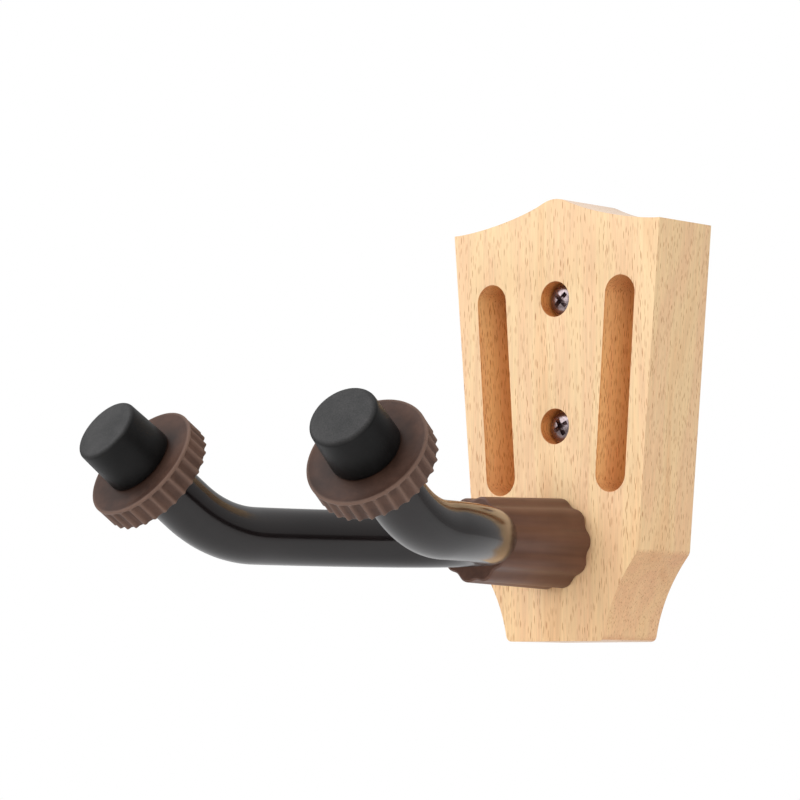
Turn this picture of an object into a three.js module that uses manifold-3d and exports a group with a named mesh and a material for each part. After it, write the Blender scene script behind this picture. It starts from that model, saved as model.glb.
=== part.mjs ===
// Wall guitar hanger: a beech back plate shaped like a slotted headstock, a fluted collar,
// and a two-armed yoke that swivels on a stud through the plate.
//
// Millimetres, +Z up. The plate's back lies on the wall, the plane Y = 0, and the yoke
// reaches out along -Y. The origin is on the wall, midway between the two wall screws.

import * as THREE from 'three';
import { mergeVertices } from 'three/addons/utils/BufferGeometryUtils.js';
import Module from 'manifold-3d';

const wasm = await Module();
wasm.setup();

// ---------------------------------------------------------------- driving dimensions

const PLATE_THICKNESS = 26;
const PLATE_FOOT_Z = -80.5;            // underside of the plate
const PLATE_SHOULDER_Z = 39.5;         // the two upper corners
const PLATE_CROWN_Z = 47.7;            // top of the crown, on the centre line
const PLATE_TOP_HALF_WIDTH = 37.5;
const PLATE_SIDE_TAPER = 0.083;        // half width lost for each millimetre downwards
const PLATE_HIP_Z = -55.3;             // where the straight sides end
const PLATE_HIP_RADIUS = 1;
const PLATE_FOOT_HALF_WIDTH = 17.5;
const PLATE_FOOT_RADIUS = 1.8;
const PLATE_FOOT_FLARE = 0.3;          // the foot's corners lean out by this much
const PLATE_EDGE_EASE = 0.5;

// Handles of the hollow curve from the foot's corner, right and up from it.
const PLATE_WAIST = [{ x: 1.7, z: 9.2 }, { x: 5.2, z: 17 }];
const PLATE_HIP_INSET = { x: 0.8, z: 0.92 };  // where that curve ends, in and down from the hip

// Handles of the curve that rises from the shoulder to the crown, then the crown's own round tip.
const PLATE_BROW = [{ x: 29, rise: 0.1 }, { x: 13, rise: 3.2 }];
const PLATE_CROWN_TIP = { x: 4.5, drop: 1.05 };

const SLOT_WIDTH = 10.6;
const SLOT_DEPTH = 17;
const SLOT_TOP = { x: 23.4, z: 18.8 }; // centres of the slot's two round ends
const SLOT_FOOT = { x: 19.95, z: -32.8 };

const WALL_SCREW_PITCH = 37;
const WALL_SCREW_BORE = 5.4;
const WALL_SCREW_SEAT = { diameter: 10.4, depth: 5.5 };
const WALL_SCREW = { head: 8.6, rim: 1.7, dome: 1.2, shank: 4.5, length: 50, point: 7 };
const CROSS_RECESS = { span: 5.4, width: 1.4, depth: 1.9 };

const PIVOT_Z = -52.5;                 // height of the swivel axis
const PIVOT_SEAT = { diameter: 25, depth: 14 };
const PIVOT_STUD = { diameter: 8, end: 0.6, chamfer: 0.8 };
const BUSH = { bore: 8.5, tube: 12, flange: 17, flangeThickness: 1.2 };
const BUSH_HOLE = 12.4;
const SLIP_WASHER = { bore: 12.4, diameter: 20, thickness: 0.9 };
const FLAT_WASHER = { bore: 8.4, diameter: 16, thickness: 1.6 };
const DISC_SPRING = { bore: 8.4, diameter: 16, thickness: 0.9, height: 1.35 };
const LOCK_NUT = { flats: 13, hex: 6.3, collar: 11.8, height: 8, bore: 8.4 };
const NUT_INSERT = { diameter: 10.2, thickness: 1.7, gap: 0.1 };

const COLLAR_LOBES = 10;
const COLLAR_LOBE_PHASE = 2.5;         // degrees from +X to the first lobe
const COLLAR_FLUTE_DEPTH = 1;
const COLLAR_FLUTE_SHARPNESS = 1.5;    // above 1 the lobes are broad and the flutes narrow
const COLLAR_WALL_RADIUS = 13.4;       // over the lobes, at the plate
const COLLAR_NOSE_RADIUS = 12.3;       // over the lobes, at the yoke
const COLLAR_NOSE_Y = -63.2;           // the nose cradles the yoke's crown
const COLLAR_BORE = 8.7;
const COLLAR_LIFT = 0.2;               // the slip washer holds the collar off the plate
const COLLAR_RECESS_GAP = 0.3;         // around the slip washer

const ROD_DIAMETER = 10;
const SLEEVE_DIAMETER = 15.9;
const SLEEVE_BORE = 10.8;
const CROWN_Y = -69.85;                // centre line of the yoke, where it crosses the axis
const CROWN_BEND = { radius: 22, angle: 55 };
const BOW = { radius: 93.4, angle: 25.8 };
const LIFT = { radius: 40.5, angle: 35 };
const TIP_LENGTH = 19.75;              // from the end of the lift bend to the ring's face

const RING = { diameter: 34.3, thickness: 7.7, bore: 10.5, ease: 0.45 };
const RING_BAND = 0.9;                 // smooth band between the ribs and the outer face
const RING_RIBS = { count: 30, depth: 0.8, crest: 17.1, sharpness: 1.5 };
const RING_GAP = 0.3;                  // end float of the ring, each side
const CAP = { base: 20, end: 19.2, length: 14.6, rim: 0.9, bore: 10.4, boreDepth: 10.5 };
const CAP_BASE_EASE = 0.3;
const CLIP = { diameter: 14, bore: 10.2, thickness: 0.8, recess: 14.6 };
const ROD_REACH = 10;                  // how far the rod runs into the cap

const GAP = 0.1;                       // running gap between stacked faces
const WELD_GAP = 0.3;

const SADDLE_GAP = 0.4;

// Facets around and along the curved pieces.
const PLATE_CURVE_STEPS = 8;
const LOBE_STEPS = 8;
const RIB_STEPS = 4;
const YOKE_STEPS = 46;
const YOKE_SIDES = 16;
const SADDLE_STEPS = 48;
const SADDLE_SIDES = 20;
const HOLE_SIDES = 28;
const SEAT_SIDES = 40;
const NUT_SIDES = 30;
const CAP_SIDES = 30;
const CUT_PROUD = 2;                   // how far a cutter stands out of the face it enters

// ---------------------------------------------------------------- solids

const rad = THREE.MathUtils.degToRad;

function solid(geometry) {
  const bare = geometry.index ? geometry.toNonIndexed() : geometry.clone();
  bare.deleteAttribute('normal');
  bare.deleteAttribute('uv');
  const welded = mergeVertices(bare, 1e-4);
  const vertProperties = new Float32Array(welded.attributes.position.array);
  const triVerts = new Uint32Array(welded.index.array);
  return new wasm.Manifold(new wasm.Mesh({ numProp: 3, vertProperties, triVerts }));
}

function geometryOf(body) {
  const mesh = body.getMesh();
  const geometry = new THREE.BufferGeometry();
  geometry.setAttribute('position', new THREE.BufferAttribute(mesh.vertProperties, 3));
  geometry.setIndex(new THREE.BufferAttribute(mesh.triVerts, 1));
  return geometry;
}

// A flat outline in X and Z, swept towards -Y from the plane Y = startY.
function plateSolid(shape, startY, depth, options = {}) {
  const settings = { depth, bevelEnabled: false, curveSegments: 12, ...options };
  const geometry = new THREE.ExtrudeGeometry(shape, settings);
  geometry.rotateX(Math.PI / 2);
  geometry.translate(0, startY, 0);
  return geometry;
}

// A closed profile of [radius, y] points, turned about the Y axis.
function turned(profile, segments = HOLE_SIDES) {
  const points = profile.map(([radius, y]) => new THREE.Vector2(radius, y));
  return new THREE.LatheGeometry(points, segments);
}

function turnedRing(inner, outer, fromY, toY, segments = HOLE_SIDES) {
  const profile = [[inner, fromY], [outer, fromY], [outer, toY], [inner, toY], [inner, fromY]];
  return turned(profile, segments);
}

function turnedRod(radius, fromY, toY, segments = HOLE_SIDES) {
  return turned([[0, fromY], [radius, fromY], [radius, toY], [0, toY]], segments);
}

// ---------------------------------------------------------------- back plate

function plateHalfWidth(z) {
  return PLATE_TOP_HALF_WIDTH - PLATE_SIDE_TAPER * (PLATE_SHOULDER_Z - z);
}

// The right-hand half of the plate's outline, from the foot's centre up to the crown's centre.
function plateRightEdge() {
  const [waistLow, waistHigh] = PLATE_WAIST;
  const [browOuter, browInner] = PLATE_BROW;
  const hip = new THREE.Vector2(plateHalfWidth(PLATE_HIP_Z), PLATE_HIP_Z);
  const overHip = PLATE_HIP_Z + PLATE_HIP_RADIUS;
  const foot = PLATE_FOOT_HALF_WIDTH;
  const edge = new THREE.Path();
  edge.moveTo(0, PLATE_FOOT_Z);
  edge.lineTo(foot - PLATE_FOOT_RADIUS, PLATE_FOOT_Z);
  edge.quadraticCurveTo(
    foot, PLATE_FOOT_Z,
    foot + PLATE_FOOT_FLARE, PLATE_FOOT_Z + PLATE_FOOT_RADIUS,
  );
  edge.bezierCurveTo(
    foot + waistLow.x, PLATE_FOOT_Z + waistLow.z,
    foot + waistHigh.x, PLATE_FOOT_Z + waistHigh.z,
    hip.x - PLATE_HIP_INSET.x, hip.y - PLATE_HIP_INSET.z,
  );
  edge.quadraticCurveTo(hip.x, hip.y, plateHalfWidth(overHip), overHip);
  edge.lineTo(PLATE_TOP_HALF_WIDTH, PLATE_SHOULDER_Z);
  edge.bezierCurveTo(
    browOuter.x, PLATE_SHOULDER_Z + browOuter.rise,
    browInner.x, PLATE_SHOULDER_Z + browInner.rise,
    PLATE_CROWN_TIP.x, PLATE_CROWN_Z - PLATE_CROWN_TIP.drop,
  );
  edge.quadraticCurveTo(PLATE_CROWN_TIP.x / 2, PLATE_CROWN_Z, 0, PLATE_CROWN_Z);
  return edge;
}

function plateOutline() {
  const right = plateRightEdge().getPoints(PLATE_CURVE_STEPS);
  const left = right.slice(1, -1).reverse().map((p) => new THREE.Vector2(-p.x, p.y));
  return new THREE.Shape([...right, ...left]);
}

function slotOutline(side) {
  const radius = SLOT_WIDTH / 2;
  const lean = Math.atan2(SLOT_TOP.x - SLOT_FOOT.x, SLOT_TOP.z - SLOT_FOOT.z);
  const shape = new THREE.Shape();
  shape.absarc(side * SLOT_TOP.x, SLOT_TOP.z, radius, -side * lean, Math.PI - side * lean, false);
  shape.absarc(side * SLOT_FOOT.x, SLOT_FOOT.z, radius, Math.PI - side * lean,
    2 * Math.PI - side * lean, false);
  shape.closePath();
  return shape;
}

function slotCutter(side) {
  const floor = SLOT_DEPTH - PLATE_THICKNESS;
  return solid(plateSolid(slotOutline(side), floor, SLOT_DEPTH + CUT_PROUD));
}

function screwHoleCutter(z) {
  const seatFloor = WALL_SCREW_SEAT.depth - PLATE_THICKNESS;
  const bore = WALL_SCREW_BORE / 2;
  const seat = WALL_SCREW_SEAT.diameter / 2;
  const front = -PLATE_THICKNESS - CUT_PROUD;
  const profile = [
    [0, front], [seat, front], [seat, seatFloor],
    [bore, seatFloor], [bore, CUT_PROUD], [0, CUT_PROUD],
  ];
  return solid(turned(profile, HOLE_SIDES).translate(0, 0, z));
}

function pivotHoleCutter() {
  const seat = PIVOT_SEAT.diameter / 2;
  const bore = BUSH_HOLE / 2;
  const floor = -PIVOT_SEAT.depth;
  const front = -PLATE_THICKNESS - CUT_PROUD;
  const profile = [
    [0, front], [bore, front], [bore, floor],
    [seat, floor], [seat, CUT_PROUD], [0, CUT_PROUD],
  ];
  return solid(turned(profile, SEAT_SIDES).translate(0, 0, PIVOT_Z));
}

function backPlate() {
  const ease = {
    bevelEnabled: true, bevelSegments: 1,
    bevelSize: PLATE_EDGE_EASE, bevelThickness: PLATE_EDGE_EASE, bevelOffset: -PLATE_EDGE_EASE,
  };
  const blankDepth = PLATE_THICKNESS - 2 * PLATE_EDGE_EASE;
  let plate = solid(plateSolid(plateOutline(), -PLATE_EDGE_EASE, blankDepth, ease));
  for (const side of [-1, 1]) {
    plate = plate.subtract(slotCutter(side));
    plate = plate.subtract(screwHoleCutter(side * WALL_SCREW_PITCH / 2));
  }
  return geometryOf(plate.subtract(pivotHoleCutter()));
}

// ---------------------------------------------------------------- wall screws

function crossRecess(topY) {
  const { span, width, depth } = CROSS_RECESS;
  const bars = [0, 1].map((turn) => {
    const bar = new THREE.BoxGeometry(turn ? width : span, depth * 2, turn ? span : width);
    return solid(bar.rotateY(Math.PI / 4).translate(0, topY, 0));
  });
  return bars[0].add(bars[1]);
}

// The head's underside is at Y = 0, its dome faces -Y, and the point is at +Y.
function wallScrew() {
  const { head, rim, dome, shank, length, point } = WALL_SCREW;
  const headRadius = head / 2;
  const top = -rim - dome;
  const profile = [
    [0, top], [headRadius * 0.45, top + dome * 0.08], [headRadius * 0.78, top + dome * 0.42],
    [headRadius, -rim], [headRadius, 0], [shank / 2, 0], [shank / 2, length - point], [0, length],
  ];
  return geometryOf(solid(turned(profile)).subtract(crossRecess(top)));
}

// ---------------------------------------------------------------- swivel hardware

function pivotBush() {
  const floor = -PIVOT_SEAT.depth;
  const { bore, tube, flange, flangeThickness } = BUSH;
  const profile = [
    [bore / 2, -PLATE_THICKNESS], [tube / 2, -PLATE_THICKNESS], [tube / 2, floor],
    [flange / 2, floor], [flange / 2, floor + flangeThickness], [bore / 2, floor + flangeThickness],
    [bore / 2, -PLATE_THICKNESS],
  ];
  return turned(profile);
}

function slipWasher() {
  const { bore, diameter, thickness } = SLIP_WASHER;
  return turnedRing(bore / 2, diameter / 2, -PLATE_THICKNESS - thickness, -PLATE_THICKNESS);
}

// Y positions of the stack behind the bush's flange, each piece a running gap from the last.
const flatWasherY = -PIVOT_SEAT.depth + BUSH.flangeThickness + GAP;
const discSpringY = flatWasherY + FLAT_WASHER.thickness + GAP;
const lockNutY = discSpringY + DISC_SPRING.height + GAP;

function flatWasher() {
  const { bore, diameter, thickness } = FLAT_WASHER;
  return turnedRing(bore / 2, diameter / 2, flatWasherY, flatWasherY + thickness);
}

function discSpring() {
  const { bore, diameter, thickness, height } = DISC_SPRING;
  const rise = height - thickness;
  const profile = [
    [bore / 2, discSpringY + rise], [diameter / 2, discSpringY],
    [diameter / 2, discSpringY + thickness], [bore / 2, discSpringY + height],
    [bore / 2, discSpringY + rise],
  ];
  return turned(profile);
}

function lockNut() {
  const { flats, hex, collar, height, bore } = LOCK_NUT;
  const end = lockNutY + height;
  const corner = flats / 2 / Math.cos(Math.PI / 6);
  const prism = new THREE.CylinderGeometry(corner, corner, hex, 6);
  prism.translate(0, lockNutY + hex / 2, 0);
  const ring = turnedRod(collar / 2, lockNutY + hex / 2, end, NUT_SIDES);
  const hole = turnedRod(bore / 2, lockNutY - CUT_PROUD, end + CUT_PROUD, NUT_SIDES);
  const seatFloor = end - NUT_INSERT.thickness - NUT_INSERT.gap;
  const seatRadius = NUT_INSERT.diameter / 2 + NUT_INSERT.gap;
  const seat = turnedRod(seatRadius, seatFloor, end + CUT_PROUD, NUT_SIDES);
  return geometryOf(solid(prism).add(solid(ring)).subtract(solid(hole)).subtract(solid(seat)));
}

function nutInsert() {
  const { diameter, thickness } = NUT_INSERT;
  const end = lockNutY + LOCK_NUT.height;
  return turnedRing(LOCK_NUT.bore / 2, diameter / 2, end - thickness, end, NUT_SIDES);
}

function pivotStud() {
  const { diameter, end, chamfer } = PIVOT_STUD;
  const radius = diameter / 2;
  const profile = [
    [0, CROWN_Y], [radius, CROWN_Y], [radius, -end - chamfer], [radius - chamfer, -end], [0, -end],
  ];
  const copeDiameter = ROD_DIAMETER + 2 * WELD_GAP;
  const cope = sweptYoke(copeDiameter, 0, yokeLength(0), YOKE_STEPS, YOKE_SIDES);
  return geometryOf(solid(turned(profile)).subtract(solid(cope)));
}

// ---------------------------------------------------------------- collar

function collarOutline() {
  const steps = COLLAR_LOBES * LOBE_STEPS;
  const points = [];
  for (let i = 0; i < steps; i += 1) {
    const angle = (2 * Math.PI * i) / steps;
    const wave = (1 - Math.cos(COLLAR_LOBES * (angle - rad(COLLAR_LOBE_PHASE)))) / 2;
    const radius = COLLAR_WALL_RADIUS - COLLAR_FLUTE_DEPTH * wave ** COLLAR_FLUTE_SHARPNESS;
    points.push(new THREE.Vector2(radius * Math.cos(angle), radius * Math.sin(angle)));
  }
  return new THREE.Shape(points);
}

function collarBlank() {
  const wallY = -PLATE_THICKNESS - COLLAR_LIFT;
  const length = wallY - COLLAR_NOSE_Y;
  const blank = plateSolid(collarOutline(), wallY, length);
  const position = blank.attributes.position;
  for (let i = 0; i < position.count; i += 1) {
    const along = (wallY - position.getY(i)) / length;
    const scale = THREE.MathUtils.lerp(1, COLLAR_NOSE_RADIUS / COLLAR_WALL_RADIUS, along);
    position.setX(i, position.getX(i) * scale);
    position.setZ(i, position.getZ(i) * scale);
  }
  return solid(blank);
}

function collar() {
  const bore = turnedRod(COLLAR_BORE / 2, COLLAR_NOSE_Y - CUT_PROUD, 0);
  const recessY = -PLATE_THICKNESS - SLIP_WASHER.thickness - GAP;
  const recess = turnedRod(SLIP_WASHER.diameter / 2 + COLLAR_RECESS_GAP, recessY, 0);
  const saddleDiameter = SLEEVE_DIAMETER + 2 * SADDLE_GAP;
  const saddle = sweptYoke(saddleDiameter, 0, yokeLength(0), SADDLE_STEPS, SADDLE_SIDES);
  const cutters = [bore, recess, saddle].map(solid);
  return geometryOf(cutters.reduce((body, cutter) => body.subtract(cutter), collarBlank()));
}

// ---------------------------------------------------------------- yoke

const crownArc = CROWN_BEND.radius * rad(CROWN_BEND.angle);
const bowArc = BOW.radius * rad(BOW.angle);
const liftArc = LIFT.radius * rad(LIFT.angle);
const SPLAY = 90 - CROWN_BEND.angle - BOW.angle;   // degrees from -Y at the ring

// Length of one arm's centre line, from the crown to `beyond` past the ring's outer face.
function yokeLength(beyond) {
  return crownArc + bowArc + liftArc + TIP_LENGTH + beyond;
}

// Moves along a flat bend whose heading falls from `from` degrees by `turn` radians.
function bend(point, radius, from, turn) {
  point.x += radius * (Math.cos(rad(from) - turn) - Math.cos(rad(from)));
  point.y += radius * (Math.sin(rad(from) - turn) - Math.sin(rad(from)));
}

// A point on the right arm's centre line, `s` from the crown. The swivel axis is at Z = 0.
function armPoint(s) {
  const point = new THREE.Vector3(0, CROWN_Y, 0);
  bend(point, CROWN_BEND.radius, 90, Math.min(s, crownArc) / CROWN_BEND.radius);
  const along = THREE.MathUtils.clamp(s - crownArc, 0, bowArc);
  bend(point, BOW.radius, 90 - CROWN_BEND.angle, along / BOW.radius);
  const climb = THREE.MathUtils.clamp(s - crownArc - bowArc, 0, liftArc) / LIFT.radius;
  const straight = Math.max(0, s - crownArc - bowArc - liftArc);
  const outward = LIFT.radius * Math.sin(climb) + straight * Math.cos(rad(LIFT.angle));
  point.x += outward * Math.sin(rad(SPLAY));
  point.y -= outward * Math.cos(rad(SPLAY));
  point.z += LIFT.radius * (1 - Math.cos(climb)) + straight * Math.sin(rad(LIFT.angle));
  return point;
}

class YokeCurve extends THREE.Curve {
  constructor(from, to) {
    super();
    this.from = from;
    this.to = to;
  }

  getPoint(t) {
    const s = THREE.MathUtils.lerp(this.from, this.to, t);
    const point = armPoint(Math.abs(s));
    point.x *= Math.sign(s);
    return point;
  }
}

function circleShape(diameter, sides) {
  const points = [];
  for (let i = 0; i < sides; i += 1) {
    const angle = (2 * Math.PI * i) / sides;
    points.push(new THREE.Vector2(Math.cos(angle), Math.sin(angle)).multiplyScalar(diameter / 2));
  }
  return points;
}

// A round bar, or with a bore a tube, along the whole yoke from tip to tip.
function sweptYoke(diameter, bore, reach, steps, sides) {
  const shape = new THREE.Shape(circleShape(diameter, sides));
  if (bore > 0) shape.holes.push(new THREE.Path(circleShape(bore, sides)));
  const extrudePath = new YokeCurve(-reach, reach);
  return new THREE.ExtrudeGeometry(shape, { steps, extrudePath, bevelEnabled: false });
}

function yokeRod() {
  const reach = yokeLength(ROD_REACH);
  return geometryOf(solid(sweptYoke(ROD_DIAMETER, 0, reach, YOKE_STEPS, YOKE_SIDES)));
}

function yokeSleeve() {
  const reach = yokeLength(-RING.thickness - 2 * RING_GAP);
  const tube = solid(sweptYoke(SLEEVE_DIAMETER, SLEEVE_BORE, reach, YOKE_STEPS, YOKE_SIDES));
  const studHole = turnedRod(COLLAR_BORE / 2, CROWN_Y, COLLAR_NOSE_Y + CUT_PROUD);
  return geometryOf(tube.subtract(solid(studHole)));
}

// ---------------------------------------------------------------- arm tips

// Tip pieces are modelled about the Y axis, with Y = 0 at the ring's outer face and the
// free end of the arm towards +Y.
function gripRing() {
  const { diameter, thickness, bore, ease } = RING;
  const { count, depth, crest, sharpness } = RING_RIBS;
  const inner = bore / 2;
  const edge = diameter / 2;
  const ribsY = -RING_BAND - ease;
  const profile = [
    [inner, -thickness], [crest - ease, -thickness], [crest, ease - thickness], [crest, ribsY],
    [edge, -RING_BAND], [edge, -ease], [edge - ease, 0], [inner, 0], [inner, -thickness],
  ];
  const ring = turned(profile, count * RIB_STEPS);
  const position = ring.attributes.position;
  for (let i = 0; i < position.count; i += 1) {
    const x = position.getX(i);
    const z = position.getZ(i);
    const ribbed = position.getY(i) < ribsY + GAP && Math.hypot(x, z) > crest - 2 * ease;
    const ridge = (1 + Math.cos(count * Math.atan2(z, x))) / 2;
    const scale = ribbed ? 1 - (depth * (1 - ridge ** sharpness)) / crest : 1;
    position.setX(i, x * scale);
    position.setZ(i, z * scale);
  }
  return ring;
}

function endCap() {
  const { base, end, length, rim, bore, boreDepth } = CAP;
  const start = RING_GAP;
  const recessDepth = CLIP.thickness + GAP;
  const steps = 4;
  const corner = [];
  for (let i = 0; i <= steps; i += 1) {
    const angle = rad((90 * i) / steps);
    corner.push([end / 2 - rim * (1 - Math.cos(angle)), length - rim * (1 - Math.sin(angle))]);
  }
  const profile = [
    [0, start + boreDepth], [bore / 2, start + boreDepth], [bore / 2, start + recessDepth],
    [CLIP.recess / 2, start + recessDepth], [CLIP.recess / 2, start],
    [base / 2 - CAP_BASE_EASE, start], [base / 2, start + CAP_BASE_EASE],
    ...corner, [0, length],
  ];
  return turned(profile, CAP_SIDES);
}

function retainingClip() {
  const { diameter, bore, thickness } = CLIP;
  return turnedRing(bore / 2, diameter / 2, RING_GAP, RING_GAP + thickness);
}

// ---------------------------------------------------------------- assembly

const FINISHES = {
  beech: { color: 0xe6bf8e, roughness: 0.55, metalness: 0 },
  bronzed_steel: { color: 0x4a423c, roughness: 0.35, metalness: 0.8 },
  brown_plastic: { color: 0x6b4b3e, roughness: 0.5, metalness: 0 },
  ring_plastic: { color: 0x5a4338, roughness: 0.5, metalness: 0 },
  black_gloss: { color: 0x241f1e, roughness: 0.15, metalness: 0 },
  black_rubber: { color: 0x2a2a2c, roughness: 0.7, metalness: 0 },
  zinc_steel: { color: 0xb4b6b8, roughness: 0.35, metalness: 0.9 },
  white_nylon: { color: 0xe4e2da, roughness: 0.6, metalness: 0 },
  grey_fibre: { color: 0x8c8a86, roughness: 0.8, metalness: 0 },
};

function piece(name, geometry, finish) {
  const mesh = new THREE.Mesh(geometry, new THREE.MeshStandardMaterial(FINISHES[finish]));
  mesh.name = name;
  return mesh;
}

const hanger = new THREE.Group();
hanger.add(piece('back_plate', backPlate(), 'beech'));

for (const [name, side] of [['wall_screw_upper', 1], ['wall_screw_lower', -1]]) {
  const screw = piece(name, wallScrew(), 'bronzed_steel');
  screw.position.set(0, WALL_SCREW_SEAT.depth - PLATE_THICKNESS, side * WALL_SCREW_PITCH / 2);
  hanger.add(screw);
}

const swivel = new THREE.Group();
swivel.position.z = PIVOT_Z;
hanger.add(swivel);
swivel.add(
  piece('pivot_bush', pivotBush(), 'white_nylon'),
  piece('slip_washer', slipWasher(), 'grey_fibre'),
  piece('fluted_collar', collar(), 'brown_plastic'),
  piece('yoke_rod', yokeRod(), 'zinc_steel'),
  piece('yoke_sleeve', yokeSleeve(), 'black_gloss'),
  piece('pivot_stud', pivotStud(), 'zinc_steel'),
  piece('flat_washer', flatWasher(), 'zinc_steel'),
  piece('disc_spring', discSpring(), 'zinc_steel'),
  piece('lock_nut', lockNut(), 'zinc_steel'),
  piece('lock_nut_insert', nutInsert(), 'white_nylon'),
);

for (const [name, side] of [['left', -1], ['right', 1]]) {
  const tip = new THREE.Group();
  tip.position.copy(armPoint(yokeLength(0)));
  tip.position.x *= side;
  const lift = rad(LIFT.angle);
  const axis = new THREE.Vector3(
    side * Math.sin(rad(SPLAY)) * Math.cos(lift),
    -Math.cos(rad(SPLAY)) * Math.cos(lift),
    Math.sin(lift),
  );
  tip.quaternion.setFromUnitVectors(new THREE.Vector3(0, 1, 0), axis);
  tip.add(
    piece(`grip_ring_${name}`, gripRing(), 'ring_plastic'),
    piece(`retaining_clip_${name}`, retainingClip(), 'zinc_steel'),
    piece(`end_cap_${name}`, endCap(), 'black_rubber'),
  );
  swivel.add(tip);
}

export default hanger;
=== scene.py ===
"""Looks for the wall guitar hanger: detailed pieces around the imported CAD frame, lights and camera."""

import math

import bmesh
import bpy
from mathutils import Matrix, Vector


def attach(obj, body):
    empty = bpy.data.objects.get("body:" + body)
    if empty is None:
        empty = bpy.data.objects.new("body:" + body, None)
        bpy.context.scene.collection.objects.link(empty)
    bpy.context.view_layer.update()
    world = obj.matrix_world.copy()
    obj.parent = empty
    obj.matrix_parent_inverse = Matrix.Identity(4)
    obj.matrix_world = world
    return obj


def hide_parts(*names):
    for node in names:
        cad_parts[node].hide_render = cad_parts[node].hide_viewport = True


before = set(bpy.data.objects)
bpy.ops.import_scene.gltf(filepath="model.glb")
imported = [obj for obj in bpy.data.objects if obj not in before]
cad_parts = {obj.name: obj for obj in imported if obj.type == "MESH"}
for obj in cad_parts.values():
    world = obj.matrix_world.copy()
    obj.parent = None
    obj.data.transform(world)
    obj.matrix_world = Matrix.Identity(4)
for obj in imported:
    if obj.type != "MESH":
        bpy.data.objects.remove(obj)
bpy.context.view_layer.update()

MM = 0.001

# ---------------------------------------------------------------- dimensions, in millimetres

PLATE_THICKNESS = 26.0
PLATE_FOOT_Z = -80.5
PLATE_SHOULDER_Z = 39.5
PLATE_CROWN_Z = 47.7
PLATE_TOP_HALF_WIDTH = 37.5
PLATE_SIDE_TAPER = 0.083
PLATE_HIP_Z = -55.3
PLATE_HIP_RADIUS = 1.0
PLATE_FOOT_HALF_WIDTH = 17.5
PLATE_FOOT_RADIUS = 1.8
EDGE_BEVEL, BACK_ROUND = 0.4, 1.0

SLOT_WIDTH = 10.6
SLOT_DEPTH = 17.0
SLOT_TOP = (23.4, 18.8)
SLOT_FOOT = (19.95, -32.8)

SCREW_HEIGHTS = {"upper": 18.5, "lower": -18.5}
SCREW_SEAT_RADIUS, SCREW_SEAT_DEPTH, SCREW_BORE_RADIUS = 5.2, 5.5, 2.7

PIVOT_Z = -52.5
PIVOT_SEAT_RADIUS, PIVOT_SEAT_DEPTH, BUSH_HOLE_RADIUS = 12.5, 14.0, 6.2

COLLAR_LOBES = 10
COLLAR_PHASE = math.radians(2.5)
COLLAR_FLUTE_DEPTH = 1.0
COLLAR_WALL_RADIUS, COLLAR_NOSE_RADIUS = 13.4, 12.3
COLLAR_WALL_Y, COLLAR_NOSE_Y = -26.2, -63.2
COLLAR_BORE_RADIUS = 4.35
SADDLE_GAP = 0.4

ROD_RADIUS = 5.0
SLEEVE_RADIUS, SLEEVE_BORE_RADIUS = 7.95, 5.4
CROWN_Y = -69.85
CROWN_BEND = (22.0, math.radians(55))
BOW = (93.4, math.radians(25.8))
LIFT = (40.5, math.radians(35))
TIP_LENGTH = 19.75
SPLAY = math.radians(90) - CROWN_BEND[1] - BOW[1]

RING_RADIUS, RING_THICKNESS, RING_BORE_RADIUS = 17.15, 7.7, 5.25
RING_BAND, RING_EASE, RING_GAP = 0.9, 0.45, 0.3
RING_RIBS, RING_RIB_DEPTH, RING_CREST = 30, 0.7, 17.1
CAP_BASE_RADIUS, CAP_END_RADIUS, CAP_LENGTH, CAP_RIM = 10.0, 9.6, 14.6, 1.4

# facets across a rounded lip, and places where the yoke's direction is worked out
LIP_STEPS = 4
FRAME_STEPS = 400

# ---------------------------------------------------------------- mesh helpers


def make_object(name, verts, faces, material, sharp_deg=32.0):
    """A mesh object from millimetre vertices, smooth apart from edges sharper than sharp_deg."""
    mesh = bpy.data.meshes.new(name)
    mesh.from_pydata([tuple(c * MM for c in v) for v in verts], [], faces)
    mesh.validate()
    bm = bmesh.new()
    bm.from_mesh(mesh)
    bmesh.ops.remove_doubles(bm, verts=bm.verts, dist=1e-7)
    bmesh.ops.recalc_face_normals(bm, faces=bm.faces)
    bm.to_mesh(mesh)
    bm.free()
    obj = bpy.data.objects.new(name, mesh)
    bpy.context.scene.collection.objects.link(obj)
    finish_mesh(obj, material, sharp_deg)
    return obj


def finish_mesh(obj, material, sharp_deg=32.0):
    obj.data.materials.clear()
    obj.data.materials.append(material)
    obj.data.shade_smooth()
    obj.data.set_sharp_from_angle(angle=math.radians(sharp_deg))


def apply_modifiers(obj):
    """Replaces the object's mesh with what its modifiers make."""
    depsgraph = bpy.context.evaluated_depsgraph_get()
    made = bpy.data.meshes.new_from_object(obj.evaluated_get(depsgraph))
    obj.modifiers.clear()
    obj.data = made


def add_piece(obj, body, node):
    """Hands a finished piece to the frame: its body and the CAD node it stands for."""
    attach(obj, body)
    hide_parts(node)
    return obj


def cut(obj, cutter):
    """Subtracts cutter from obj and removes the cutter."""
    modifier = obj.modifiers.new("cut", "BOOLEAN")
    modifier.operation = "DIFFERENCE"
    modifier.solver = "EXACT"
    modifier.object = cutter
    apply_modifiers(obj)
    bpy.data.objects.remove(cutter)


def bevel(obj, width, segments=3, angle_deg=38.0):
    modifier = obj.modifiers.new("bevel", "BEVEL")
    modifier.width = width * MM
    modifier.segments = segments
    modifier.limit_method = "ANGLE"
    modifier.angle_limit = math.radians(angle_deg)
    modifier.use_clamp_overlap = True
    apply_modifiers(obj)


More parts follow.
